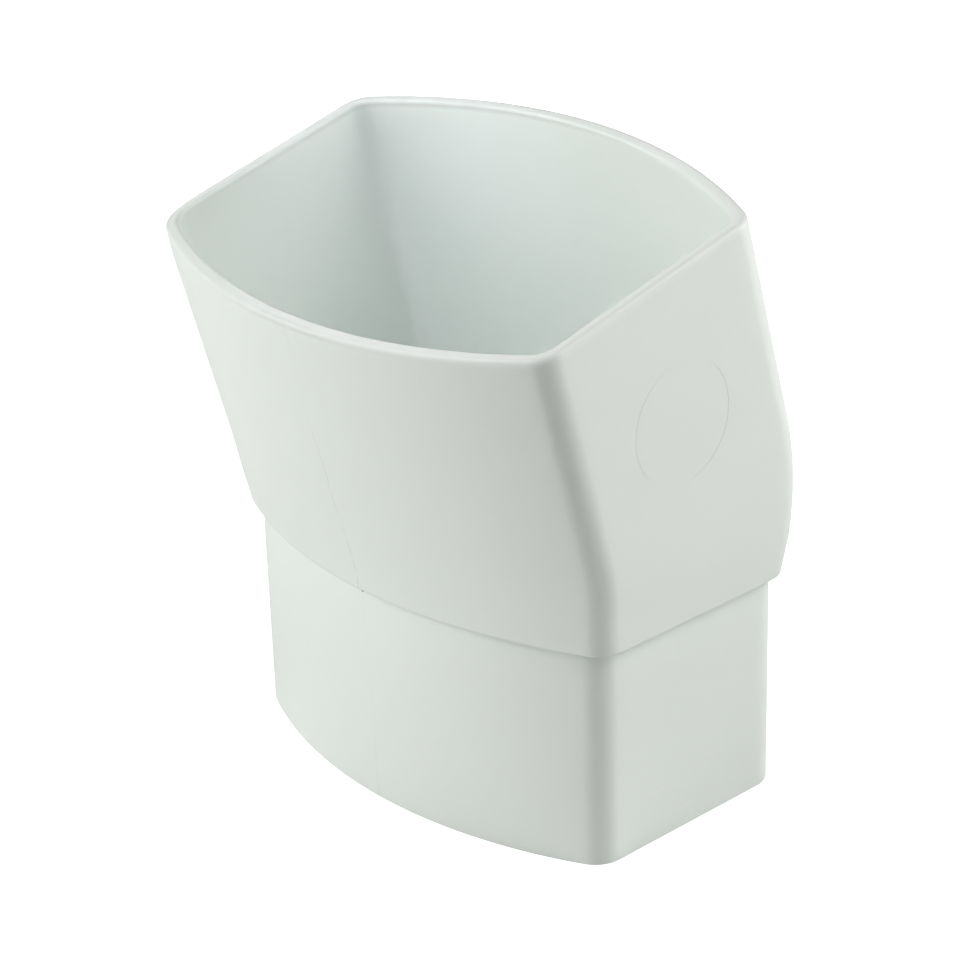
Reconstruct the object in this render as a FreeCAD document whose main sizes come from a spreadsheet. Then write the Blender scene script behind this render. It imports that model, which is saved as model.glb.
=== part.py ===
import FreeCAD, Part
import math
import os
import Sketcher
from FreeCAD import Placement, Rotation, Vector

# Downspout elbow: one moulded fitting for a flat-sided oval rainwater pipe, in millimetres.
# It stands on its spigot. Z is up, X runs across the wide side of the pipe, and the socket
# leans towards -Y. The origin is the middle of the spigot's lower end.
# Every cross-section has two flat sides, two crowned sides and four rounded corners.

# Driving dimensions
dimensions = {
    "wall": 2.85,
    # the spigot, which is as wide and deep as the pipe it stands for
    "spigot_width": 105.0,
    "spigot_depth": 76.0,
    "spigot_crown": 109.0,
    "spigot_corner": 7.0,
    "spigot_length": 48.2,
    # the stepped foot of the body
    "foot_width": 109.4,
    "foot_depth": 78.4,
    # the socket
    "socket_width": 114.3,
    "socket_depth": 84.8,
    "body_crown": 118.0,
    "body_corner": 6.5,
    "bore_corner": 4.6,
    "rim_tilt": 13.9,
    "rim_outer_rounding": 0.9,
    "rim_inner_rounding": 0.5,
    # the bend between them
    "bend_height": 66.4,
    "bend_radius": 75.0,
    "socket_lean": 15.3,
    "socket_reach": 57.8,
    # the round line that a mould insert leaves on one flat side
    "insert_width": 25.0,
    "insert_reach": 27.2,
    "insert_line": 0.3,
    "insert_sink": 0.12,
}


def make_sheet(doc):
    """Keep the driving dimensions in a sheet, one name and number to a row."""
    sheet = doc.addObject("Spreadsheet::Sheet", "sizes")
    for row, (name, value) in enumerate(dimensions.items(), start=1):
        sheet.set(f"A{row}", name)
        sheet.set(f"B{row}", str(value))
        sheet.setAlias(f"B{row}", name)
    doc.recompute()
    return sheet


# Sections that shape the bend, counted in steps from its start to its end
bend_steps = 4

# Where the sections stand, as expressions of the sheet
bend_run = "sizes.bend_radius * tan(sizes.socket_lean / 2)"
bend_length = "sizes.bend_radius * sizes.socket_lean * pi / 180"
lower_run = f"(sizes.bend_height - {bend_run} - sizes.spigot_length)"


def upright_place(height):
    """A level section over the origin."""
    return {"y": "0", "z": height, "tilt": "0"}


def bend_place(share, shift):
    """A section on the bend, where share goes from 0 at its start to 1 at its end.

    Its middle is shifted away from the middle of the bend, towards the back.
    """
    turn = f"sizes.socket_lean * {share}"
    lift = f"sizes.bend_height - {bend_run} + sizes.bend_radius * sin({turn})"
    return {
        "y": f"-sizes.bend_radius * (1 - cos({turn})) + {shift} * cos({turn})",
        "z": f"{lift} + {shift} * sin({turn})",
        "tilt": turn,
    }


def rim_place():
    """The socket's mouth, which is cut a little off square."""
    return {
        "y": "-sizes.socket_reach * sin(sizes.socket_lean)",
        "z": "sizes.bend_height + sizes.socket_reach * cos(sizes.socket_lean)",
        "tilt": "sizes.rim_tilt",
    }


def flare_on_bend(share):
    """How far the foot has widened to the socket, 1, at a share of the bend.

    It widens evenly up to the bend, and then ever less until the bend's end.
    """
    at_start = f"2 * {lower_run} / ({bend_length} + 2 * {lower_run})"
    return f"(1 - (1 - {at_start}) * {(1 - share) ** 2})"


def bend_size(share):
    """Width and depth of the body's outside on the bend, and how far its middle is shifted.

    The sides and the back widen with the flare. The front is the socket's own front wall,
    which runs straight down past the bend.
    """
    flare = flare_on_bend(share)
    width = f"(sizes.foot_width + (sizes.socket_width - sizes.foot_width) * {flare})"
    back = f"(sizes.foot_depth + (sizes.socket_depth - sizes.foot_depth) * {flare}) / 2"
    inner_radius = "(sizes.bend_radius - sizes.socket_depth / 2)"
    front = f"(sizes.bend_radius - {inner_radius} / cos(sizes.socket_lean * {1 - share}))"
    return width, f"({back} + {front})", f"({back} - {front}) / 2"


def origin_plane(body, role):
    return next(plane for plane in body.Origin.OriginFeatures if plane.Role == role)


def attach(sketch, body, role):
    sketch.AttachmentSupport = [(origin_plane(body, role), "")]
    sketch.MapMode = "FlatFace"


def bind_constraint(sketch, constraint, name, expression):
    """Add a dimension to a sketch, with a name, and let the sheet drive it."""
    index = sketch.addConstraint(constraint)
    sketch.renameConstraint(index, name)
    sketch.setExpression(f"Constraints.{name}", expression)


def oval_sketch(body, name, place, width, depth, crown, corner):
    """One cross-section: flat sides at +-X, crowned sides at +-Y, rounded corners."""
    sketch = body.newObject("Sketcher::SketchObject", name)
    attach(sketch, body, "XY_Plane")

    tilt = sketch.evalExpression(place["tilt"])
    sketch.AttachmentOffset = Placement(Vector(0, 0, 0), Rotation(Vector(1, 0, 0), tilt))
    sketch.setExpression("AttachmentOffset.Base.y", place["y"])
    sketch.setExpression("AttachmentOffset.Base.z", place["z"])
    if place["tilt"] != "0":
        sketch.setExpression("AttachmentOffset.Rotation.Angle", place["tilt"])

    half_width = sketch.evalExpression(width) / 2
    half_depth = sketch.evalExpression(depth) / 2
    crown_radius = sketch.evalExpression(crown)
    corner_radius = sketch.evalExpression(corner)
    crown_drop = crown_radius - half_depth
    corner_x = half_width - corner_radius
    reach = crown_radius - corner_radius
    corner_y = math.sqrt(reach**2 - corner_x**2) - crown_drop
    start = math.atan2(corner_y + crown_drop, corner_x)

    def arc(x, y, radius, first, last):
        circle = Part.Circle(Vector(x, y, 0), Vector(0, 0, 1), radius)
        return Part.ArcOfCircle(circle, first, last)

    def flat(x, y_from, y_to):
        return Part.LineSegment(Vector(x, y_from, 0), Vector(x, y_to, 0))

    turn = math.pi
    outline = [
        flat(half_width, -corner_y, corner_y),
        arc(corner_x, corner_y, corner_radius, 0, start),
        arc(0, -crown_drop, crown_radius, start, turn - start),
        arc(-corner_x, corner_y, corner_radius, turn - start, turn),
        flat(-half_width, corner_y, -corner_y),
        arc(-corner_x, -corner_y, corner_radius, turn, turn + start),
        arc(0, crown_drop, crown_radius, turn + start, 2 * turn - start),
        arc(corner_x, -corner_y, corner_radius, 2 * turn - start, 2 * turn),
    ]
    sketch.addGeometry(outline, False)

    right, back, left, front = 0, 2, 4, 6
    corners = [1, 3, 5, 7]
    begins, ends, centre, origin, vertical_axis = 1, 2, 3, (-1, 1), -2
    for piece in range(len(outline)):
        following = (piece + 1) % len(outline)
        sketch.addConstraint(Sketcher.Constraint("Tangent", piece, ends, following, begins))
    for side in (right, left):
        sketch.addConstraint(Sketcher.Constraint("Vertical", side))
    for side in (back, front):
        sketch.addConstraint(Sketcher.Constraint("PointOnObject", side, centre, vertical_axis))
    for other in corners[1:]:
        sketch.addConstraint(Sketcher.Constraint("Equal", corners[0], other))
    sketch.addConstraint(Sketcher.Constraint("Equal", back, front))

    half = f"({width}) / 2"
    drop = f"({crown}) - ({depth}) / 2"
    distance_right = Sketcher.Constraint("DistanceX", *origin, right, begins, half_width)
    distance_left = Sketcher.Constraint("DistanceX", left, begins, *origin, half_width)
    drop_back = Sketcher.Constraint("DistanceY", back, centre, *origin, crown_drop)
    drop_front = Sketcher.Constraint("DistanceY", *origin, front, centre, crown_drop)
    crown_size = Sketcher.Constraint("Radius", back, crown_radius)
    corner_size = Sketcher.Constraint("Radius", corners[0], corner_radius)
    bind_constraint(sketch, distance_right, "half_width_right", half)
    bind_constraint(sketch, distance_left, "half_width_left", half)
    bind_constraint(sketch, drop_back, "crown_drop_back", drop)
    bind_constraint(sketch, drop_front, "crown_drop_front", drop)
    bind_constraint(sketch, crown_size, "crown", crown)
    bind_constraint(sketch, corner_size, "corner", corner)
    return sketch


def body_section(body, name, place, width, depth):
    """A section of the body's outside."""
    crown, corner = "sizes.body_crown", "sizes.body_corner"
    return oval_sketch(body, name, place, width, depth, crown, corner)


def bore_section(body, name, place, width, depth):
    """A section of the passage inside the body, one wall in from the outside."""
    bore_width = f"{width} - 2 * sizes.wall"
    bore_depth = f"{depth} - 2 * sizes.wall"
    crown, corner = "sizes.body_crown - sizes.wall", "sizes.bore_corner"
    return oval_sketch(body, name, place, bore_width, bore_depth, crown, corner)


def sections_of(body, name, foot_height, make_section):
    """The sections of the foot and the bend, from the lowest up."""
    foot_place = upright_place(foot_height)
    foot = make_section(body, f"{name}_foot", foot_place, "sizes.foot_width", "sizes.foot_depth")
    bend = []
    for step in range(bend_steps + 1):
        share = step / bend_steps
        width, depth, shift = bend_size(share)
        label = f"{name}_bend_{step}"
        bend.append(make_section(body, label, bend_place(share, shift), width, depth))
    return foot, bend


def add_loft(body, kind, name, sections, ruled):
    loft = body.newObject(kind, name)
    loft.Profile = sections[0]
    loft.Sections = sections[1:]
    loft.Ruled = ruled
    return loft


def add_lofts(body, kind, name, foot, bend):
    """Straight from the foot to the bend, and smooth round it."""
    add_loft(body, kind, f"{name}_below_bend", [foot, bend[0]], True)
    add_loft(body, kind, f"{name}_bend", bend, False)


def rim_plane(body):
    """The plane of the socket's mouth, which is a little off square to the socket."""
    plane = body.newObject("PartDesign::Plane", "rim_plane")
    attach(plane, body, "XY_Plane")
    place = rim_place()
    tilt = plane.evalExpression(place["tilt"])
    plane.AttachmentOffset = Placement(Vector(0, 0, 0), Rotation(Vector(1, 0, 0), tilt))
    plane.setExpression("AttachmentOffset.Base.y", place["y"])
    plane.setExpression("AttachmentOffset.Base.z", place["z"])
    plane.setExpression("AttachmentOffset.Rotation.Angle", place["tilt"])
    return plane


def edge_names(shape, wanted):
    """Names of the wanted edges in a shape."""
    edges = enumerate(shape.Edges, start=1)
    return [f"Edge{index}" for index, edge in edges if any(edge.isSame(e) for e in wanted)]


def rim_face(shape):
    """The flat ring of the rim, which is the highest flat face."""
    flat_faces = [face for face in shape.Faces if face.Surface.TypeId == "Part::GeomPlane"]
    return max(flat_faces, key=lambda face: face.CenterOfMass.z)


def add_rounding(body, name, before, edges, radius):
    rounding = body.newObject("PartDesign::Fillet", name)
    rounding.Base = (before, edge_names(before.Shape, edges))
    rounding.setExpression("Radius", radius)
    body.Document.recompute()
    return rounding


def round_rim(body, moulding):
    """Round the rim's outer edge, and then its inner edge a little less."""
    outer_edges = rim_face(moulding.Shape).OuterWire.Edges
    radius = "sizes.rim_outer_rounding"
    rounded = add_rounding(body, "rim_outer_rounding", moulding, outer_edges, radius)

    rim = rim_face(rounded.Shape)
    inner_wires = [wire for wire in rim.Wires if not wire.isSame(rim.OuterWire)]
    inner_edges = [edge for wire in inner_wires for edge in wire.Edges]
    radius = "sizes.rim_inner_rounding"
    add_rounding(body, "rim_inner_rounding", rounded, inner_edges, radius)


def add_insert_line(body):
    """The shallow round groove in the flat side at +X, centred on the socket's axis."""
    sketch = body.newObject("Sketcher::SketchObject", "insert_outline")
    attach(sketch, body, "YZ_Plane")
    reach = "sizes.insert_reach"
    sketch.setExpression("AttachmentOffset.Base.x", f"-{reach} * sin(sizes.socket_lean)")
    height = f"sizes.bend_height + {reach} * cos(sizes.socket_lean)"
    sketch.setExpression("AttachmentOffset.Base.y", height)
    sketch.setExpression("AttachmentOffset.Base.z", "sizes.socket_width / 2")
    for name, line_share in (("inner", "0"), ("outer", "2 * sizes.insert_line")):
        across = f"sizes.insert_width + {line_share}"
        radius = sketch.evalExpression(across) / 2
        circle = Part.Circle(Vector(0, 0, 0), Vector(0, 0, 1), radius)
        index = sketch.addGeometry(circle, False)
        sketch.addConstraint(Sketcher.Constraint("Coincident", index, 3, -1, 1))
        size = Sketcher.Constraint("Diameter", index, 2 * radius)
        bind_constraint(sketch, size, f"{name}_diameter", across)
    groove = body.newObject("PartDesign::Pocket", "insert_line")
    groove.Profile = sketch
    groove.setExpression("Length", "sizes.insert_sink")


def build_elbow(doc):
    body = doc.addObject("PartDesign::Body", "elbow")
    body.Label = "elbow"

    # Outside: the spigot, the body lofted round the bend, and the socket up to its mouth
    spigot_outline = oval_sketch(
        body,
        "spigot_outline",
        upright_place("0"),
        "sizes.spigot_width",
        "sizes.spigot_depth",
        "sizes.spigot_crown",
        "sizes.spigot_corner",
    )
    spigot = body.newObject("PartDesign::Pad", "spigot")
    spigot.Profile = spigot_outline
    spigot.setExpression("Length", "sizes.spigot_length")
    foot, bend = sections_of(body, "body", "sizes.spigot_length", body_section)
    add_lofts(body, "PartDesign::AdditiveLoft", "body", foot, bend)
    mouth = rim_plane(body)
    socket = body.newObject("PartDesign::Pad", "socket")
    socket.Profile = bend[-1]
    socket.Type = "UpToFace"
    socket.UpToFace = (mouth, [""])

    # Inside: the spigot's bore, and the passage that ends one wall above the foot
    bore_outline = oval_sketch(
        body,
        "spigot_bore_outline",
        upright_place("0"),
        "sizes.spigot_width - 2 * sizes.wall",
        "sizes.spigot_depth - 2 * sizes.wall",
        "sizes.spigot_crown - sizes.wall",
        "sizes.spigot_corner - sizes.wall",
    )
    spigot_bore = body.newObject("PartDesign::Pocket", "spigot_bore")
    spigot_bore.Profile = bore_outline
    spigot_bore.Reversed = True
    spigot_bore.setExpression("Length", "sizes.spigot_length + sizes.wall")
    passage_foot = "sizes.spigot_length + sizes.wall"
    foot, bend = sections_of(body, "passage", passage_foot, bore_section)
    add_lofts(body, "PartDesign::SubtractiveLoft", "passage", foot, bend)
    socket_bore = body.newObject("PartDesign::Pocket", "socket_bore")
    socket_bore.Profile = bend[-1]
    socket_bore.Reversed = True
    socket_bore.Type = "ThroughAll"
    doc.recompute()

    round_rim(body, socket_bore)
    add_insert_line(body)
    return body


def check_objects(doc):
    for item in doc.Objects:
        if "Invalid" in item.State or "Error" in item.State:
            raise RuntimeError(f"{item.Name} failed to build: {item.State}")


def main():
    os.makedirs("parts", exist_ok=True)
    doc = FreeCAD.newDocument("downspout_elbow")
    make_sheet(doc)
    elbow = build_elbow(doc)
    doc.recompute()
    check_objects(doc)
    shape = elbow.Shape
    if shape.isNull() or not shape.isValid():
        raise RuntimeError("the elbow's shape is not valid")
    shape.exportStep(f"parts/{elbow.Label}.step")
    box = shape.BoundBox
    print(f"{elbow.Label}: {len(shape.Solids)} solid, {shape.Volume / 1000:.1f} cubic cm")
    print(f"box {box.XLength:.2f} x {box.YLength:.2f} x {box.ZLength:.2f} mm")


main()
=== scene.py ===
import math
import bpy
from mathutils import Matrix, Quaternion, Vector


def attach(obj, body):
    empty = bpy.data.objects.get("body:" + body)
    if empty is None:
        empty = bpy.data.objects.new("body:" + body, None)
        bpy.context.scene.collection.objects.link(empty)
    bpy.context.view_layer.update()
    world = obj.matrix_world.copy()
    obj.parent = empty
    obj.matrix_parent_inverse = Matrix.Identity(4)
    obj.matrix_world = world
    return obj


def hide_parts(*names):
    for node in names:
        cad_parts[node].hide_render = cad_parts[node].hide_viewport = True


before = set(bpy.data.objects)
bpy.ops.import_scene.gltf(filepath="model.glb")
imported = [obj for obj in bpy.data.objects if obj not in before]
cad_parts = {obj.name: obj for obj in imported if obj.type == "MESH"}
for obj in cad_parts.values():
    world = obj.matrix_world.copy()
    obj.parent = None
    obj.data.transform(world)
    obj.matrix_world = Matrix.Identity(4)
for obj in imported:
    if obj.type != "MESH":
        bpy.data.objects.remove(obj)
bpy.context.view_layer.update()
mm = 0.001

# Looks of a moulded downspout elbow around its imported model. Everything is in metres, Z is up
# and the socket leans towards -Y, as in the model. Settings are in millimetres and degrees
# where no other unit is named.


# The camera stands at the photograph's angle: azimuth 0 looks along +Y
camera = {
    "azimuth": 47.969,
    "elevation": 24.626,
    "roll": -1.771,
    "distance": 618.43,
    "target": (-8.348, 0.0, 57.61),
    "lens": 110.38,
    "sensor": 36.0,
    "nearest": 0.01,
    "farthest": 50.0,
}


# The direction from the object to something that stands at these angles
def awayAt(azimuth, elevation):
    turn = math.radians(azimuth)
    rise = math.radians(elevation)
    level = math.cos(rise)
    return Vector((math.sin(turn) * level, -math.cos(turn) * level, math.sin(rise)))


def placeCamera():
    back = awayAt(camera["azimuth"], camera["elevation"])
    data = bpy.data.cameras.new("camera")
    data.sensor_width = camera["sensor"]
    data.lens = camera["lens"]
    data.clip_start = camera["nearest"]
    data.clip_end = camera["farthest"]
    holder = bpy.data.objects.new("camera", data)
    bpy.context.scene.collection.objects.link(holder)
    holder.location = (Vector(camera["target"]) + back * camera["distance"]) * mm
    roll = Quaternion((0.0, 0.0, 1.0), math.radians(camera["roll"]))
    holder.rotation_mode = "QUATERNION"
    holder.rotation_quaternion = (-back).to_track_quat("-Z", "Y") @ roll
    bpy.context.scene.camera = holder


placeCamera()
print("camera placed")


# Small helpers for writing a formula as nodes
class Number:
    def __init__(self, tree, socket):
        self.tree = tree
        self.socket = socket

    def maths(self, operation, *others):
        node = self.tree.nodes.new("ShaderNodeMath")
        node.operation = operation
        for slot, value in enumerate((self, *others)):
            if isinstance(value, Number):
                self.tree.links.new(value.socket, node.inputs[slot])
            else:
                node.inputs[slot].default_value = value
        return Number(self.tree, node.outputs[0])

    def __add__(self, other):
        return self.maths("ADD", other)

    def __sub__(self, other):
        return self.maths("SUBTRACT", other)

    def __mul__(self, other):
        return self.maths("MULTIPLY", other)

    def __truediv__(self, other):
        return self.maths("DIVIDE", other)

    def lessFrom(self, start):
        return (self * -1.0) + start

    def between0And1(self):
        return self.maths("MAXIMUM", 0.0).maths("MINIMUM", 1.0)

    def towards(self, other, share):
        return self + (other - self) * share


def addNode(tree, kind, inputs=None, **settings):
    node = tree.nodes.new(kind)
    for name, value in settings.items():
        setattr(node, name, value)
    for name, value in (inputs or {}).items():
        if isinstance(value, Number):
            tree.links.new(value.socket, node.inputs[name])
        elif isinstance(value, bpy.types.NodeSocket):
            tree.links.new(value, node.inputs[name])
        else:
            node.inputs[name].default_value = value
    return node


def joinXyz(tree, x, y, z):
    node = tree.nodes.new("ShaderNodeCombineXYZ")
    for slot, value in enumerate((x, y, z)):
        if isinstance(value, Number):
            tree.links.new(value.socket, node.inputs[slot])
        else:
            node.inputs[slot].default_value = value
    return node.outputs[0]


# The elbow, in millimetres and degrees
elbow = {
    "Spigot Width": 105.0,
    "Spigot Depth": 76.0,
    "Spigot Crown": 109.0,
    "Spigot Corner": 7.0,
    "Spigot Length": 48.2,
    "Foot Width": 109.4,
    "Foot Depth": 78.4,
    "Socket Width": 114.3,
    "Socket Depth": 84.76,
    "Body Crown": 118.0,
    "Body Corner": 6.5,
    "Bore Corner": 4.6,
    "Wall": 2.85,
    "Bend Height": 66.4,
    "Bend Radius": 75.0,
    "Socket Reach": 57.8,
    "Insert Width": 25.3,
    "Insert Line": 0.24,
    "Insert Sink": 0.04,
    "Insert Reach": 27.2,
}
elbowAngles = {"Socket Lean": 15.3, "Rim Tilt": 13.9}
elbowWear = {
    "Worn Corner": (-57.15, -41.5, 115.5),  # the rim's corner at the front left
    "Worn Push": (0.75, 0.3, 0.0),  # how far that corner is pushed in
}
elbowWearReach = {"Worn Reach": 9.0}
elbowMesh = {
    "Flat Steps": 10,
    "Corner Steps": 12,
    "Arc Steps": 40,
}
wallProfile = {
    "endRounding": 0.2,
    "footInside": 0.2,
    "footOutside": 0.3,
    "rimOutside": 1.2,
    "rimInside": 0.9,
    "ledgeRounding": 0.6,
    "roundingSteps": 5,
    "spigotRings": 20,
    "lowerRings": 8,
    "bendRings": 24,
    "socketRings": 26,
}
meshFinish = {"mergeDistance": 1e-6, "insertSteps": 160, "softAngle": 40.0}


# Every ring of the wall, once round from the spigot's lower end: up the outside, over the rim
# and down the inside. Outline is 0 on the spigot and 1 on the body. Run counts the spigot, the
# lower body, the bend and the socket as 1 each. Slide is along the axis, and inset is from
# the outside, both in millimetres.
def wallRings():
    wall = elbow["Wall"]
    steps = wallProfile["roundingSteps"]
    quarter = [math.pi / 2 * step / steps for step in range(steps + 1)]
    rings = []

    def add(outline, run, slide, inset):
        rings.append((outline, run, slide, inset))

    def runRings(outline, first, last, count, inset, slides=(0.0, 0.0)):
        for step in range(1, count):
            share = step / count
            slide = slides[0] + (slides[1] - slides[0]) * share
            add(outline, first + (last - first) * share, slide, inset)

    end = wallProfile["endRounding"]
    for angle in quarter:
        add(0, 0.0, end * (1 - math.cos(angle)), end * (1 - math.sin(angle)))
    inner = wallProfile["footInside"]
    runRings(0, 0.0, 1.0, wallProfile["spigotRings"], 0.0, (end, -inner))
    for angle in quarter:
        add(0, 1.0, -inner * (1 - math.sin(angle)), -inner * (1 - math.cos(angle)))
    outer = wallProfile["footOutside"]
    for angle in quarter:
        add(1, 1.0, outer * (1 - math.cos(angle)), outer * (1 - math.sin(angle)))
    runRings(1, 1.0, 2.0, wallProfile["lowerRings"], 0.0, (outer, 0.0))
    add(1, 2.0, 0.0, 0.0)
    runRings(1, 2.0, 3.0, wallProfile["bendRings"], 0.0)
    add(1, 3.0, 0.0, 0.0)
    edge = wallProfile["rimOutside"]
    runRings(1, 3.0, 4.0, wallProfile["socketRings"], 0.0, (0.0, -edge))
    for angle in quarter:
        add(1, 4.0, -edge * (1 - math.sin(angle)), edge * (1 - math.cos(angle)))
    lip = wallProfile["rimInside"]
    add(1, 4.0, 0.0, (edge + wall - lip) / 2)
    for angle in quarter:
        add(1, 4.0, -lip * (1 - math.cos(angle)), wall - lip * (1 - math.sin(angle)))
    runRings(1, 4.0, 3.0, wallProfile["socketRings"], wall, (-lip, 0.0))
    add(1, 3.0, 0.0, wall)
    runRings(1, 3.0, 2.0, wallProfile["bendRings"], wall)
    add(1, 2.0, 0.0, wall)
    ledge = wallProfile["ledgeRounding"]
    runRings(1, 2.0, 1.0, wallProfile["lowerRings"], wall, (0.0, wall + ledge))
    for angle in quarter:
        add(1, 1.0, wall + ledge * (1 - math.sin(angle)), wall + ledge * (1 - math.cos(angle)))
    for angle in quarter:
        add(0, 1.0, wall - ledge * (1 - math.cos(angle)), wall - ledge * (1 - math.sin(angle)))
    runRings(0, 1.0, 0.0, wallProfile["spigotRings"], wall, (wall - ledge, end))
    for angle in quarter:
        add(0, 0.0, end * (1 - math.sin(angle)), wall - end * (1 - math.cos(angle)))
    rings.append(rings[0])
    return rings


# The quarter outline, as three stretches: half a flat side, a corner and half a crowned side.
# Each is passed with its progress from 0 to 1.
def outlinePoint(width, depth, crown, corner, flat, turn, arc):
    drop = crown - depth / 2.0
    reach = crown - corner
    cornerX = width / 2.0 - corner
    cornerY = (reach * reach - cornerX * cornerX).maths("SQRT") - drop
    start = (cornerY + drop).maths("ARCTAN2", cornerX)
    cornerTurn = start * turn
    arcTurn = start + start.lessFrom(math.pi / 2) * arc
    x = width / 2.0 + corner * (cornerTurn.maths("COSINE") - 1.0)
    x = x + crown * (arcTurn.maths("COSINE") - start.maths("COSINE"))
    y = cornerY * flat + corner * cornerTurn.maths("SINE")
    y = y + crown * (arcTurn.maths("SINE") - start.maths("SINE"))
    return x, y


def elbowTree():
    tree = bpy.data.node_groups.new("ovalElbow", "GeometryNodeTree")
    face = tree.interface
    face.new_socket("Geometry", in_out="INPUT", socket_type="NodeSocketGeometry")
    for name in (*elbow, *elbowAngles, *elbowWearReach):
        face.new_socket(name, in_out="INPUT", socket_type="NodeSocketFloat")
    for name in elbowWear:
        face.new_socket(name, in_out="INPUT", socket_type="NodeSocketVector")
    for name in elbowMesh:
        face.new_socket(name, in_out="INPUT", socket_type="NodeSocketInt")
    face.new_socket("Material", in_out="INPUT", socket_type="NodeSocketMaterial")
    face.new_socket("Geometry", in_out="OUTPUT", socket_type="NodeSocketGeometry")
    given = tree.nodes.new("NodeGroupInput")
    result = tree.nodes.new("NodeGroupOutput")

    def size(name):
        return Number(tree, given.outputs[name])

    # A sheet of points: one row for each ring, one column for each place round it
    quarter = size("Flat Steps") + size("Corner Steps") + size("Arc Steps")
    places = quarter * 4.0 + 1.0
    ringCount = addNode(
        tree, "GeometryNodeAttributeDomainSize", {"Geometry": given.outputs["Geometry"]}
    ).outputs["Point Count"]
    grid = addNode(
        tree, "GeometryNodeMeshGrid", {"Vertices X": ringCount, "Vertices Y": places}
    )
    index = Number(tree, tree.nodes.new("GeometryNodeInputIndex").outputs[0])
    ring = (index / places).maths("FLOOR")
    place = index - ring * places

    def ringValue(name):
        stored = addNode(
            tree, "GeometryNodeInputNamedAttribute", {"Name": name}, data_type="FLOAT"
        )
        taken = addNode(
            tree,
            "GeometryNodeSampleIndex",
            {"Geometry": given.outputs["Geometry"], "Value": stored.outputs[0], "Index": ring},
            data_type="FLOAT",
        )
        return Number(tree, taken.outputs[0])

    outline = ringValue("outline")
    run = ringValue("run")
    slide = ringValue("slide")
    inset = ringValue("inset")

    # Where the ring's middle stands, and how far the body has flared there
    lean = size("Socket Lean")
    radius = size("Bend Radius")
    bendRun = radius * (lean / 2.0).maths("TANGENT")
    lowerRun = size("Bend Height") - bendRun - size("Spigot Length")
    bendLength = radius * lean
    evenShare = lowerRun * 2.0 / (bendLength + lowerRun * 2.0)
    spigotDone = run.between0And1()
    lowerDone = (run - 1.0).between0And1()
    bendDone = (run - 2.0).between0And1()
    socketDone = (run - 3.0).between0And1()
    turn = lean * bendDone
    bendLeft = bendDone.lessFrom(1.0)
    easing = (bendLeft * bendLeft).lessFrom(1.0)
    flare = evenShare * lowerDone + evenShare.lessFrom(1.0) * easing
    straight = (size("Socket Reach") - bendRun) * socketDone + slide
    cosine = turn.maths("COSINE")
    sine = turn.maths("SINE")
    middleY = radius * (cosine - 1.0) - straight * sine
    middleZ = size("Spigot Length") * spigotDone + lowerRun * lowerDone
    middleZ = middleZ + radius * sine + straight * cosine
    tilt = turn + (size("Rim Tilt") - lean) * socketDone

    # The outline's four sizes at the ring
    bodyWidth = size("Foot Width").towards(size("Socket Width"), flare)
    back = size("Foot Depth").towards(size("Socket Depth"), flare) / 2.0

    # the socket's front wall runs straight down past the bend
    innerRadius = radius - size("Socket Depth") / 2.0
    front = radius - innerRadius / (lean * bendLeft).maths("COSINE")
    front = (size("Foot Depth") / 2.0).towards(front, lowerDone)
    shift = (back - front) / 2.0 * outline
    inShare = inset / size("Wall")
    bodyCorner = size("Body Corner").towards(size("Bore Corner"), inShare)
    spigotCorner = size("Spigot Corner") - inset
    width = size("Spigot Width").towards(bodyWidth, outline) - inset * 2.0
    depth = size("Spigot Depth").towards(back + front, outline) - inset * 2.0
    crown = size("Spigot Crown").towards(size("Body Crown"), outline) - inset
    corner = spigotCorner.towards(bodyCorner, outline)

    # The place on the quarter outline
    along = place.maths("PINGPONG", quarter)
    flatDone = (along / size("Flat Steps")).between0And1()
    cornerDone = ((along - size("Flat Steps")) / size("Corner Steps")).between0And1()
    arcDone = ((quarter - along) / size("Arc Steps")).between0And1().lessFrom(1.0)
    outX, outY = outlinePoint(width, depth, crown, corner, flatDone, cornerDone, arcDone)

    angle = place / quarter * (math.pi / 2)
    x = outX * angle.maths("COSINE").maths("SIGN")
    y = outY * angle.maths("SINE").maths("SIGN") + shift
    position = joinXyz(
        tree, x, middleY + y * tilt.maths("COSINE"), middleZ + y * tilt.maths("SINE")
    )

    # The worn corner of the rim is pushed in, less and less with distance from it
    gap = addNode(
        tree,
        "ShaderNodeVectorMath",
        {0: position, 1: given.outputs["Worn Corner"]},
        operation="DISTANCE",
    )
    nearness = (Number(tree, gap.outputs["Value"]) / size("Worn Reach")).lessFrom(1.0)
    nearness = nearness.between0And1()
    pushed = addNode(
        tree,
        "ShaderNodeVectorMath",
        {0: given.outputs["Worn Push"], "Scale": nearness * nearness * (nearness * -2.0 + 3.0)},
        operation="SCALE",
    )
    placed = addNode(
        tree,
        "GeometryNodeSetPosition",
        {"Geometry": grid.outputs["Mesh"], "Position": position, "Offset": pushed.outputs[0]},
    )
    closed = addNode(
        tree,
        "GeometryNodeMergeByDistance",
        {"Geometry": placed.outputs[0], "Distance": meshFinish["mergeDistance"]},
    )

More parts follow.
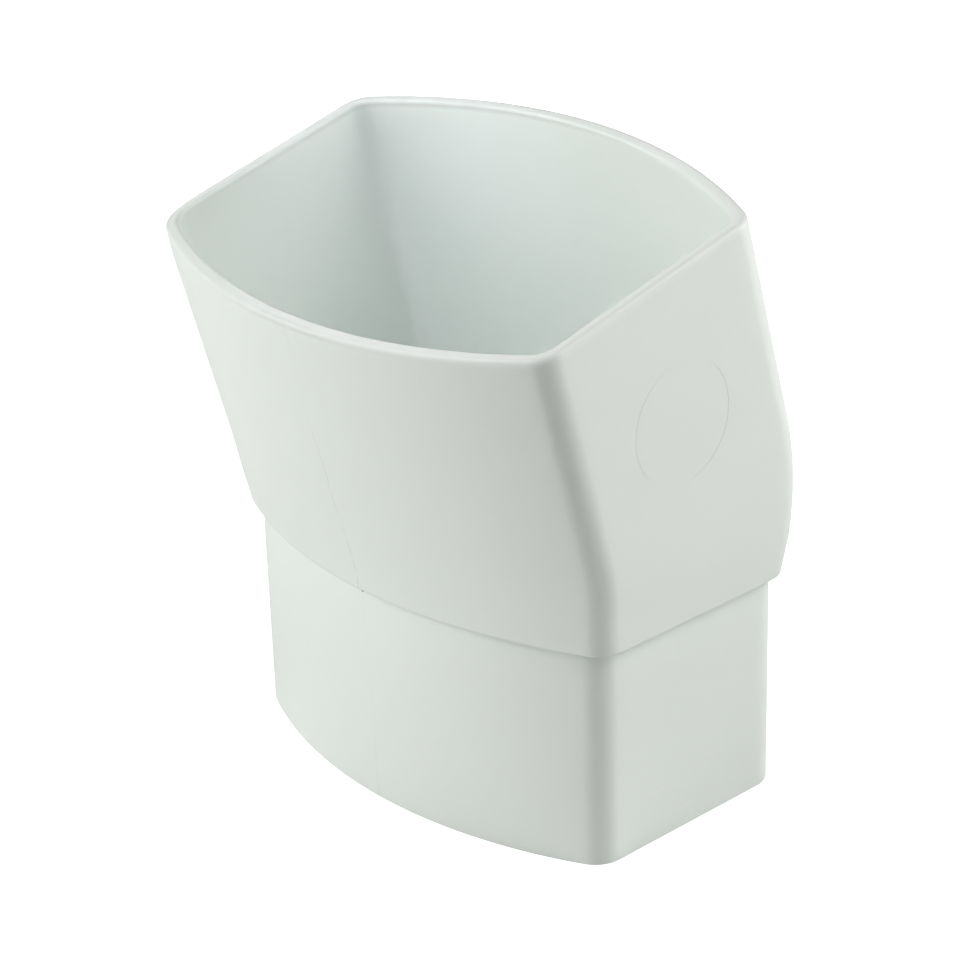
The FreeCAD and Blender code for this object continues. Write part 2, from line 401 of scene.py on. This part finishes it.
    # The round line of a mould insert, sunk in the flat side at +X
    circle = addNode(
        tree,
        "GeometryNodeCurvePrimitiveCircle",
        {"Resolution": meshFinish["insertSteps"], "Radius": size("Insert Width") / 2.0},
    )
    section = addNode(
        tree,
        "GeometryNodeCurvePrimitiveQuadrilateral",
        {"Width": size("Insert Line"), "Height": size("Insert Sink") * 2.0},
    )
    cutter = addNode(
        tree,
        "GeometryNodeCurveToMesh",
        {"Curve": circle.outputs[0], "Profile Curve": section.outputs[0]},
    )
    insertPlace = joinXyz(
        tree,
        size("Socket Width") / 2.0,
        size("Insert Reach") * lean.maths("SINE") * -1.0,
        size("Bend Height") + size("Insert Reach") * lean.maths("COSINE"),
    )
    cutterPlaced = addNode(
        tree,
        "GeometryNodeTransform",
        {
            "Geometry": cutter.outputs[0],
            "Translation": insertPlace,
            "Rotation": (0.0, math.pi / 2, 0.0),
        },
    )
    cut = addNode(
        tree,
        "GeometryNodeMeshBoolean",
        {"Mesh 1": closed.outputs[0], "Mesh 2": cutterPlaced.outputs[0]},
        operation="DIFFERENCE",
        solver="EXACT",
    )

    # Smooth, but for edges that turn sharply
    edgeAngle = Number(tree, tree.nodes.new("GeometryNodeInputMeshEdgeAngle").outputs[0])
    soft = edgeAngle.maths("LESS_THAN", math.radians(meshFinish["softAngle"]))
    smoothFaces = addNode(
        tree, "GeometryNodeSetShadeSmooth", {"Geometry": cut.outputs[0]}, domain="FACE"
    )
    smoothEdges = addNode(
        tree,
        "GeometryNodeSetShadeSmooth",
        {"Geometry": smoothFaces.outputs[0], "Shade Smooth": soft},
        domain="EDGE",
    )
    real = addNode(
        tree, "GeometryNodeRealizeInstances", {"Geometry": smoothEdges.outputs[0]}
    )
    dressed = addNode(
        tree,
        "GeometryNodeSetMaterial",
        {"Geometry": real.outputs[0], "Material": given.outputs["Material"]},
    )
    tree.links.new(dressed.outputs[0], result.inputs[0])
    return tree


def makeElbow(material):
    rings = wallRings()
    mesh = bpy.data.meshes.new("elbowRings")
    mesh.from_pydata([(0.0, 0.0, 0.0)] * len(rings), [], [])
    for column, name in enumerate(("outline", "run", "slide", "inset")):
        unit = mm if name in ("slide", "inset") else 1.0
        stored = mesh.attributes.new(name, "FLOAT", "POINT")
        stored.data.foreach_set("value", [ring[column] * unit for ring in rings])
    draft = bpy.data.objects.new("elbowDraft", mesh)
    bpy.context.scene.collection.objects.link(draft)
    tree = elbowTree()
    nodes = draft.modifiers.new("ovalElbow", "NODES")
    nodes.node_group = tree
    values = {name: value * mm for name, value in {**elbow, **elbowWearReach}.items()}
    values.update({name: [part * mm for part in value] for name, value in elbowWear.items()})
    values.update({name: math.radians(value) for name, value in elbowAngles.items()})
    values.update(elbowMesh)
    values["Material"] = material
    for socket in tree.interface.items_tree:
        if socket.in_out == "INPUT" and socket.name in values:
            nodes[socket.identifier] = values[socket.name]
    evaluated = draft.evaluated_get(bpy.context.evaluated_depsgraph_get())
    made = bpy.data.meshes.new_from_object(evaluated)
    made.name = "elbowShell"
    draft.modifiers.remove(nodes)
    bpy.data.objects.remove(draft)
    shell = bpy.data.objects.new("elbow_shell", made)
    bpy.context.scene.collection.objects.link(shell)
    return shell


# Parts of the plastic's look, each a group of shader nodes
def newGroup(name, inputs, outputs):
    tree = bpy.data.node_groups.new(name, "ShaderNodeTree")
    for label, kind in inputs.items():
        tree.interface.new_socket(label, in_out="INPUT", socket_type=f"NodeSocket{kind}")
    for label, kind in outputs.items():
        tree.interface.new_socket(label, in_out="OUTPUT", socket_type=f"NodeSocket{kind}")
    return tree, tree.nodes.new("NodeGroupInput"), tree.nodes.new("NodeGroupOutput")


# Noise about zero
def noiseNumber(tree, vector, scale, detail):
    inputs = {"Vector": vector, "Scale": scale, "Detail": detail}
    node = addNode(tree, "ShaderNodeTexNoise", inputs)
    return Number(tree, node.outputs[0]) - 0.5


# The slightly uneven skin that a steel mould leaves. Scales are waves in a metre.
skinDetail = {"cloud": 3.0, "grain": 2.0, "gloss": 4.0}
glossToCloud = 2.7  # how much finer the patches of gloss are than the clouds


def moldedSkinGroup():
    inputs = {
        "Vector": "Vector",
        "Cloud Scale": "Float",
        "Cloud Amount": "Float",
        "Grain Scale": "Float",
        "Grain Height": "Float",
        "Gloss Amount": "Float",
    }
    outputs = {"Tone": "Float", "Gloss": "Float", "Height": "Float"}
    tree, given, result = newGroup("moldedSkin", inputs, outputs)
    vector = given.outputs["Vector"]
    clouds = noiseNumber(tree, vector, given.outputs["Cloud Scale"], skinDetail["cloud"])
    grain = noiseNumber(tree, vector, given.outputs["Grain Scale"], skinDetail["grain"])
    glossScale = Number(tree, given.outputs["Cloud Scale"]) * glossToCloud
    gloss = noiseNumber(tree, vector, glossScale, skinDetail["gloss"])
    tone = clouds * Number(tree, given.outputs["Cloud Amount"]) + 1.0
    tree.links.new(tone.socket, result.inputs["Tone"])
    amount = gloss * Number(tree, given.outputs["Gloss Amount"])
    tree.links.new(amount.socket, result.inputs["Gloss"])
    height = grain * Number(tree, given.outputs["Grain Height"])
    tree.links.new(height.socket, result.inputs["Height"])
    return tree


# The witness line down the middle of each crowned side. It wanders a little on its way down.
seam = {
    "width": 0.28,
    "topHeight": 132.0,
    "reach": 6.0,  # the curve's values from 0 to 1 stand for -reach to reach
    # height and sideways place, in millimetres
    "wander": (
        (0.0, -0.75), (11.0, -1.04), (22.7, -1.22), (34.0, -2.4), (47.0, -2.76), (52.0, -1.74),
        (60.7, -1.56), (69.0, -1.94), (80.0, -1.53), (88.0, -1.9), (95.2, -1.4), (107.0, -0.12),
        (111.0, -0.59), (132.0, -0.7),
    ),
    # height and how clearly it shows
    "strength": (
        (0.0, 0.5), (10.0, 0.3), (20.0, 0.12), (40.0, 0.15), (47.0, 0.3), (49.0, 0.9), (60.0, 0.9),
        (67.0, 0.6), (72.0, 0.75), (83.0, 0.7), (89.0, 0.2), (103.0, 0.15), (108.0, 0.45),
        (132.0, 0.5),
    ),
    "breakScale": 420.0,  # waves in a metre of the gaps along it
    "breakContrast": 3.0,
    "wholeShare": 0.75,
    "leastFacing": 0.3,  # how far a face must look to the front or the back
    "leastY": 20.0,
}


def heightCurve(tree, height, points, toShare):
    node = addNode(tree, "ShaderNodeFloatCurve", {"Value": height})
    curve = node.mapping.curves[0]
    for spot, (z, value) in enumerate(points):
        place = (z / seam["topHeight"], toShare(value))
        if spot in (0, len(points) - 1):
            curve.points[0 if spot == 0 else -1].location = place
        else:
            curve.points.new(*place)
    node.mapping.update()
    return Number(tree, node.outputs[0])


def seamLineGroup():
    inputs = {"Vector": "Vector", "Normal": "Vector", "Width": "Float", "Break Scale": "Float"}
    tree, given, result = newGroup("seamLine", inputs, {"Mask": "Float"})
    parts = addNode(tree, "ShaderNodeSeparateXYZ", {"Vector": given.outputs["Vector"]})
    facing = addNode(tree, "ShaderNodeSeparateXYZ", {"Vector": given.outputs["Normal"]})
    x, y, z = (Number(tree, socket) for socket in parts.outputs)
    height = z / (seam["topHeight"] * mm)
    reach = seam["reach"]
    share = heightCurve(tree, height, seam["wander"], lambda value: value / reach / 2 + 0.5)
    lineX = (share - 0.5) * (2 * reach * mm)
    gap = (x - lineX).maths("ABSOLUTE") / Number(tree, given.outputs["Width"])
    near = gap.lessFrom(1.0).between0And1()
    strength = heightCurve(tree, height, seam["strength"], lambda value: value)

    # only where a crowned side faces outwards
    looking = Number(tree, facing.outputs[1]) * y.maths("SIGN")
    outward = looking.maths("GREATER_THAN", seam["leastFacing"])
    side = y.maths("ABSOLUTE").maths("GREATER_THAN", seam["leastY"] * mm)
    breaks = noiseNumber(tree, given.outputs["Vector"], given.outputs["Break Scale"], 1.0)
    whole = (breaks * seam["breakContrast"] + seam["wholeShare"]).between0And1()
    mask = near * strength * whole * outward * side
    tree.links.new(mask.socket, result.inputs["Mask"])
    return tree


# Painted shade: a thin dark line along the body's lower edge, where the crease under the step lies in
# shade, on the outside of the crowned sides only. It fades in over a few millimetres, from a distance
# from the middle plane.
footCreaseShade = {"height": 48.35, "width": 0.35, "fadeFrom": 28.0, "fadeOver": 6.0, "sharpness": 2.0}


def footCreaseShadeGroup():
    inputs = {"Vector": "Vector", "Normal": "Vector", "Height": "Float", "Width": "Float"}
    tree, given, result = newGroup("footCreaseShade", inputs, {"Mask": "Float"})
    parts = addNode(tree, "ShaderNodeSeparateXYZ", {"Vector": given.outputs["Vector"]})
    above = Number(tree, parts.outputs[2]) - Number(tree, given.outputs["Height"])
    share = above.maths("ABSOLUTE") / Number(tree, given.outputs["Width"])
    near = share.lessFrom(1.0) * footCreaseShade["sharpness"]
    distance = Number(tree, parts.outputs[1]).maths("ABSOLUTE") / mm
    crowned = (distance - footCreaseShade["fadeFrom"]) / footCreaseShade["fadeOver"]
    facing = addNode(
        tree,
        "ShaderNodeVectorMath",
        {0: given.outputs["Vector"], 1: given.outputs["Normal"]},
        operation="DOT_PRODUCT",
    )
    outward = Number(tree, facing.outputs["Value"]).maths("GREATER_THAN", 0.0)
    mask = near.between0And1() * crowned.between0And1() * outward
    tree.links.new(mask.socket, result.inputs["Mask"])
    return tree


# A round mark with a soft edge
speck = {"place": (-2.76, -37.96, 47.4), "radius": 0.34, "sharpness": 3.0}


def spotGroup():
    inputs = {"Vector": "Vector", "Place": "Vector", "Radius": "Float"}
    tree, given, result = newGroup("spot", inputs, {"Mask": "Float"})
    gap = addNode(
        tree,
        "ShaderNodeVectorMath",
        {0: given.outputs["Vector"], 1: given.outputs["Place"]},
        operation="DISTANCE",
    )
    share = Number(tree, gap.outputs["Value"]) / Number(tree, given.outputs["Radius"])
    mask = (share.lessFrom(1.0) * speck["sharpness"]).between0And1()
    tree.links.new(mask.socket, result.inputs["Mask"])
    return tree


# Short fine rubs, in a few places and hardly seen. They are added: the photograph shows none.
# Scales are waves in a metre.
rubs = {
    "patchScale": 30.0,
    "patchFrom": 0.13,
    "patchSharpness": 12.0,
    "streakScale": 900.0,
    "streakFrom": 0.17,
    "streakSharpness": 14.0,
    "turn": (0.5, 0.3, 0.4),
    "stretch": (1.0, 0.05, 1.0),
}


def rubGroup():
    inputs = {"Vector": "Vector", "Patch Scale": "Float", "Streak Scale": "Float"}
    tree, given, result = newGroup("rubs", inputs, {"Mask": "Float"})
    vector = given.outputs["Vector"]
    patches = noiseNumber(tree, vector, given.outputs["Patch Scale"], 1.0)
    stretched = addNode(
        tree,
        "ShaderNodeMapping",
        {"Vector": vector, "Rotation": rubs["turn"], "Scale": rubs["stretch"]},
    )
    streaks = noiseNumber(tree, stretched.outputs[0], given.outputs["Streak Scale"], 1.0)
    patchMask = ((patches - rubs["patchFrom"]) * rubs["patchSharpness"]).between0And1()
    streakMask = ((streaks - rubs["streakFrom"]) * rubs["streakSharpness"]).between0And1()
    mask = patchMask * streakMask
    tree.links.new(mask.socket, result.inputs["Mask"])
    return tree


# The rim's painted shade and painted highlight, set against this scene's own lights: painted shade where
# the lights into the mouth fall on it, a painted highlight at its other end. It stands for no wear and no
# dirt, and the photograph shows none there. It is off when the rim's highlight and shade amounts in pvc
# are 0.
rimPaintedLight = {
    "middle": (0.0, -15.25, 122.15),
    "reach": 1.8,
    "sharpness": 2.0,
    "darkMiddle": (-38.0, 24.0, 131.0),
    "darkReach": 62.0,
    "paleOver": 20.0,  # how far from the middle plane the pale end is in full
    "patchScale": 160.0,  # waves in a metre
    "patchContrast": 0.8,
    "patchShare": 0.9,
    "frontMiddle": (0.0, -54.0, 112.6),
    "frontReach": 45.0,
    "frontShare": 0.6,  # how much painted shade it gets there, against the corner
}


def rimPaintedLightGroup():
    inputs = {
        "Vector": "Vector",
        "Middle": "Vector",
        "Upward": "Vector",
        "Reach": "Float",
        "Dark Middle": "Vector",
        "Dark Reach": "Float",
        "Front Middle": "Vector",
        "Front Reach": "Float",
        "Front Share": "Float",
        "Patch Scale": "Float",
    }
    tree, given, result = newGroup("rimPaintedLight", inputs, {"Painted Highlight": "Float", "Painted Shade": "Float"})
    vector = given.outputs["Vector"]
    away = addNode(
        tree, "ShaderNodeVectorMath", {0: vector, 1: given.outputs["Middle"]}, operation="SUBTRACT"
    )
    above = addNode(
        tree,
        "ShaderNodeVectorMath",
        {0: away.outputs[0], 1: given.outputs["Upward"]},
        operation="DOT_PRODUCT",
    )
    share = Number(tree, above.outputs["Value"]) / Number(tree, given.outputs["Reach"])
    near = ((share + 1.0) * rimPaintedLight["sharpness"]).between0And1()
    patches = noiseNumber(tree, vector, given.outputs["Patch Scale"], 2.0)
    uneven = patches * rimPaintedLight["patchContrast"] + rimPaintedLight["patchShare"]
    uneven = near * uneven.between0And1()
    along = addNode(tree, "ShaderNodeSeparateXYZ", {"Vector": vector})
    end = (Number(tree, along.outputs[0]) / (rimPaintedLight["paleOver"] * mm)).between0And1()

    def nearness(middle, reach):
        gap = addNode(
            tree,
            "ShaderNodeVectorMath",
            {0: vector, 1: given.outputs[middle]},
            operation="DISTANCE",
        )
        share = Number(tree, gap.outputs["Value"]) / Number(tree, given.outputs[reach])
        return share.lessFrom(1.0).between0And1()

    front = nearness("Front Middle", "Front Reach") * Number(tree, given.outputs["Front Share"])
    darker = nearness("Dark Middle", "Dark Reach") + front
    tree.links.new((uneven * end).socket, result.inputs["Painted Highlight"])
    tree.links.new((uneven * darker).socket, result.inputs["Painted Shade"])
    return tree


def placeGroup(tree, group, inputs):
    return addNode(tree, "ShaderNodeGroup", inputs, node_tree=group)


def mixColor(tree, share, first, second):
    node = addNode(tree, "ShaderNodeMix", data_type="RGBA")
    for slot, value in ((0, share), (6, first), (7, second)):
        if isinstance(value, Number):
            tree.links.new(value.socket, node.inputs[slot])
        elif isinstance(value, bpy.types.NodeSocket):
            tree.links.new(value, node.inputs[slot])
        else:
            node.inputs[slot].default_value = value
    return node.outputs[2]


# The pale grey PVC
pvc = {
    "color": (0.757, 0.8, 0.752, 1.0),
    # The next colour darkens the seam line and also the painted shade along the body's lower edge
    "seamAndShadeColor": (0.36, 0.39, 0.34, 1.0),
    "speckColor": (0.05, 0.055, 0.045, 1.0),
    # The next colour is for the rubs and also for the rim's painted highlight
    "rubAndHighlightColor": (0.86, 0.88, 0.85, 1.0),
    "roughness": 0.4,
    "ior": 1.53,
    "cloudScale": 38.0,
    "cloudAmount": 0.03,
    "grainScale": 1500.0,
    "grainHeight": 0.004,
    "glossAmount": 0.08,
    "seamAmount": 0.32,
    "seamDepth": 0.012,
    # how strong the painted shade along the body's lower edge is
    "footCreaseShadeAmount": 0.2,
    "rubAmount": 0.14,
    "rubRoughness": 0.3,
    # The rim's painted highlight and painted shade
    "rimHighlightAmount": 0.5,
    "rimShadeColor": (0.49, 0.51, 0.48, 1.0),
    "rimShadeAmount": 0.75,
}


def makePvc():
    material = bpy.data.materials.new("satinPvc")
    material.use_nodes = True
    tree = material.node_tree
    shader = tree.nodes["Principled BSDF"]
    where = tree.nodes.new("ShaderNodeTexCoord")
    vector = where.outputs["Object"]
    skin = placeGroup(
        tree,
        moldedSkinGroup(),
        {
            "Vector": vector,
            "Cloud Scale": pvc["cloudScale"],
            "Cloud Amount": pvc["cloudAmount"],
            "Grain Scale": pvc["grainScale"],
            "Grain Height": pvc["grainHeight"] * mm,
            "Gloss Amount": pvc["glossAmount"],
        },
    )
    line = placeGroup(
        tree,
        seamLineGroup(),
        {
            "Vector": vector,
            "Normal": where.outputs["Normal"],
            "Width": seam["width"] * mm,
            "Break Scale": seam["breakScale"],
        },
    )
    footShade = placeGroup(
        tree,
        footCreaseShadeGroup(),
        {
            "Vector": vector,
            "Normal": where.outputs["Normal"],
            "Height": footCreaseShade["height"] * mm,
            "Width": footCreaseShade["width"] * mm,
        },
    )
    spot = placeGroup(
        tree,
        spotGroup(),
        {
            "Vector": vector,
            "Place": [part * mm for part in speck["place"]],
            "Radius": speck["radius"] * mm,
        },
    )
    rubbed = placeGroup(
        tree,
        rubGroup(),
        {
            "Vector": vector,
            "Patch Scale": rubs["patchScale"],
            "Streak Scale": rubs["streakScale"],
        },
    )
    tilt = math.radians(elbowAngles["Rim Tilt"])
    rim = placeGroup(
        tree,
        rimPaintedLightGroup(),
        {
            "Vector": vector,
            "Middle": [part * mm for part in rimPaintedLight["middle"]],
            "Upward": (0.0, -math.sin(tilt), math.cos(tilt)),
            "Reach": rimPaintedLight["reach"] * mm,
            "Dark Middle": [part * mm for part in rimPaintedLight["darkMiddle"]],
            "Dark Reach": rimPaintedLight["darkReach"] * mm,
            "Front Middle": [part * mm for part in rimPaintedLight["frontMiddle"]],
            "Front Reach": rimPaintedLight["frontReach"] * mm,
            "Front Share": rimPaintedLight["frontShare"],
            "Patch Scale": rimPaintedLight["patchScale"],
        },
    )
    lineMask = Number(tree, line.outputs["Mask"])
    rubMask = Number(tree, rubbed.outputs["Mask"]) * pvc["rubAmount"]
    rimHighlightMask = Number(tree, rim.outputs["Painted Highlight"]) * pvc["rimHighlightAmount"]
    rimShadeMask = Number(tree, rim.outputs["Painted Shade"]) * pvc["rimShadeAmount"]
    toned = addNode(
        tree,
        "ShaderNodeVectorMath",
        {0: pvc["color"][:3], "Scale": Number(tree, skin.outputs["Tone"])},
        operation="SCALE",
    )
    color = mixColor(tree, rubMask, toned.outputs[0], pvc["rubAndHighlightColor"])
    # Painted highlight, then painted shade, on the rim
    color = mixColor(tree, rimHighlightMask, color, pvc["rubAndHighlightColor"])
    color = mixColor(tree, rimShadeMask, color, pvc["rimShadeColor"])
    color = mixColor(tree, lineMask * pvc["seamAmount"], color, pvc["seamAndShadeColor"])
    # Painted shade in the crease along the body's lower edge
    footShadeMask = Number(tree, footShade.outputs["Mask"]) * pvc["footCreaseShadeAmount"]
    color = mixColor(tree, footShadeMask, color, pvc["seamAndShadeColor"])
    color = mixColor(tree, Number(tree, spot.outputs["Mask"]), color, pvc["speckColor"])
    tree.links.new(color, shader.inputs["Base Color"])
    roughness = Number(tree, skin.outputs["Gloss"]) + pvc["roughness"] + rubMask * pvc["rubRoughness"]
    tree.links.new(roughness.socket, shader.inputs["Roughness"])
    height = Number(tree, skin.outputs["Height"]) - lineMask * (pvc["seamDepth"] * mm)
    bump = addNode(tree, "ShaderNodeBump", {"Distance": 1.0, "Height": height})
    tree.links.new(bump.outputs[0], shader.inputs["Normal"])
    shader.inputs["IOR"].default_value = pvc["ior"]
    return material


shell = makeElbow(makePvc())
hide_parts("elbow")
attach(shell, "root")
print("elbow made:", len(shell.data.polygons), "faces")


# The floor, which the camera sees as white paper
studioFloor = {"half": 3.0, "color": (0.8, 0.8, 0.8, 1.0), "roughness": 0.8, "glow": 0.9}


def makeFloor():
    half = studioFloor["half"]
    mesh = bpy.data.meshes.new("floor")
    mesh.from_pydata(
        [(-half, -half, 0.0), (half, -half, 0.0), (half, half, 0.0), (-half, half, 0.0)],
        [],
        [(0, 1, 2, 3)],
    )
    floor = bpy.data.objects.new("floor", mesh)
    bpy.context.scene.collection.objects.link(floor)
    material = bpy.data.materials.new("paleFloor")
    material.use_nodes = True
    tree = material.node_tree
    shader = tree.nodes["Principled BSDF"]
    shader.inputs["Base Color"].default_value = studioFloor["color"]
    shader.inputs["Roughness"].default_value = studioFloor["roughness"]
    shader.inputs["Emission Strength"].default_value = studioFloor["glow"]
    seen = tree.nodes.new("ShaderNodeLightPath").outputs["Is Camera Ray"]
    tree.links.new(seen, shader.inputs["Emission Color"])
    mesh.materials.append(material)


# Soft round lights. Azimuth 0 is in front, on the side that the socket leans to, and 90 is at
# +X. Size and distance are in metres, power in watts. The powers of all lights, and the tint of
# the narrow ones, were fitted to the photograph's tones, so they aren't a studio's plain setup.
studioLights = {
    "leftLow": {"azimuth": 315, "elevation": 12, "power": 5.5},
    "left": {"azimuth": 330, "elevation": 30, "power": 5.3},
    "leftHigh": {"azimuth": 330, "elevation": 48, "power": 3.44},
    "front": {"azimuth": 0, "elevation": 30, "power": 1.24},
    "rightLow": {"azimuth": 150, "elevation": 4, "power": 7.07},
    "right": {"azimuth": 135, "elevation": 30, "power": 4.67},
    "rightHigh": {"azimuth": 120, "elevation": 48, "power": 6.0},
    "back": {"azimuth": 240, "elevation": 42, "power": 1.52},
}
studioShape = {
    "aim": (0.0, 0.0, 70.0),
    "distance": 1.3,
    "size": 0.65,
    "spread": 180.0,
    "color": (1.0, 1.0, 1.0),
}

# Small narrow lights aimed into the mouth. They also reach the rim, where painted shade on the rim evens
# them out.
mouthLights = {
    "mouthRight": {"azimuth": 110, "elevation": 70, "power": 0.0099, "size": 0.035, "spread": 10.0},
    "mouthLeft": {"azimuth": 320, "elevation": 70, "power": 0.0163, "size": 0.035, "spread": 10.0},
    "mouthFront": {"azimuth": 0, "elevation": 60, "power": 0.0024, "size": 0.08, "spread": 25.0},
    "farCorner": {"azimuth": 30, "elevation": 40, "power": 0.0049, "spread": 20.0, "aim": (-42, 22, 116)},
    "leftWall": {"azimuth": 60, "elevation": 50, "power": 0.0006, "spread": 12.0, "aim": (-54, -12, 112)},
    "frontWall": {"azimuth": 180, "elevation": 60, "power": 0.0034, "aim": (0, -48, 108)},
}
mouthShape = {
    "aim": (0.0, -15.0, 122.0),
    "distance": 0.25,
    "size": 0.05,
    "spread": 16.0,
    "color": (0.893, 0.888, 1.0),
}


def makeLights(lights, shape):
    for name, light in lights.items():
        made = {**shape, **light}
        away = awayAt(made["azimuth"], made["elevation"])
        data = bpy.data.lights.new(name, "AREA")
        data.shape = "DISK"
        data.size = made["size"]
        data.spread = math.radians(made["spread"])
        data.energy = made["power"]
        data.color = made["color"]
        holder = bpy.data.objects.new(name, data)
        bpy.context.scene.collection.objects.link(holder)
        holder.location = Vector(made["aim"]) * mm + away * made["distance"]
        holder.rotation_mode = "QUATERNION"
        holder.rotation_quaternion = (-away).to_track_quat("-Z", "Y")


# White behind the floor, for the camera only
def makeWorld():
    world = bpy.data.worlds.new("studio")
    bpy.context.scene.world = world
    world.use_nodes = True
    tree = world.node_tree
    seen = tree.nodes.new("ShaderNodeLightPath").outputs["Is Camera Ray"]
    tree.links.new(seen, tree.nodes["Background"].inputs["Color"])


makeFloor()
makeLights(studioLights, studioShape)
makeLights(mouthLights, mouthShape)
makeWorld()
bpy.context.scene.view_settings.view_transform = "Standard"
print("floor and lights made")
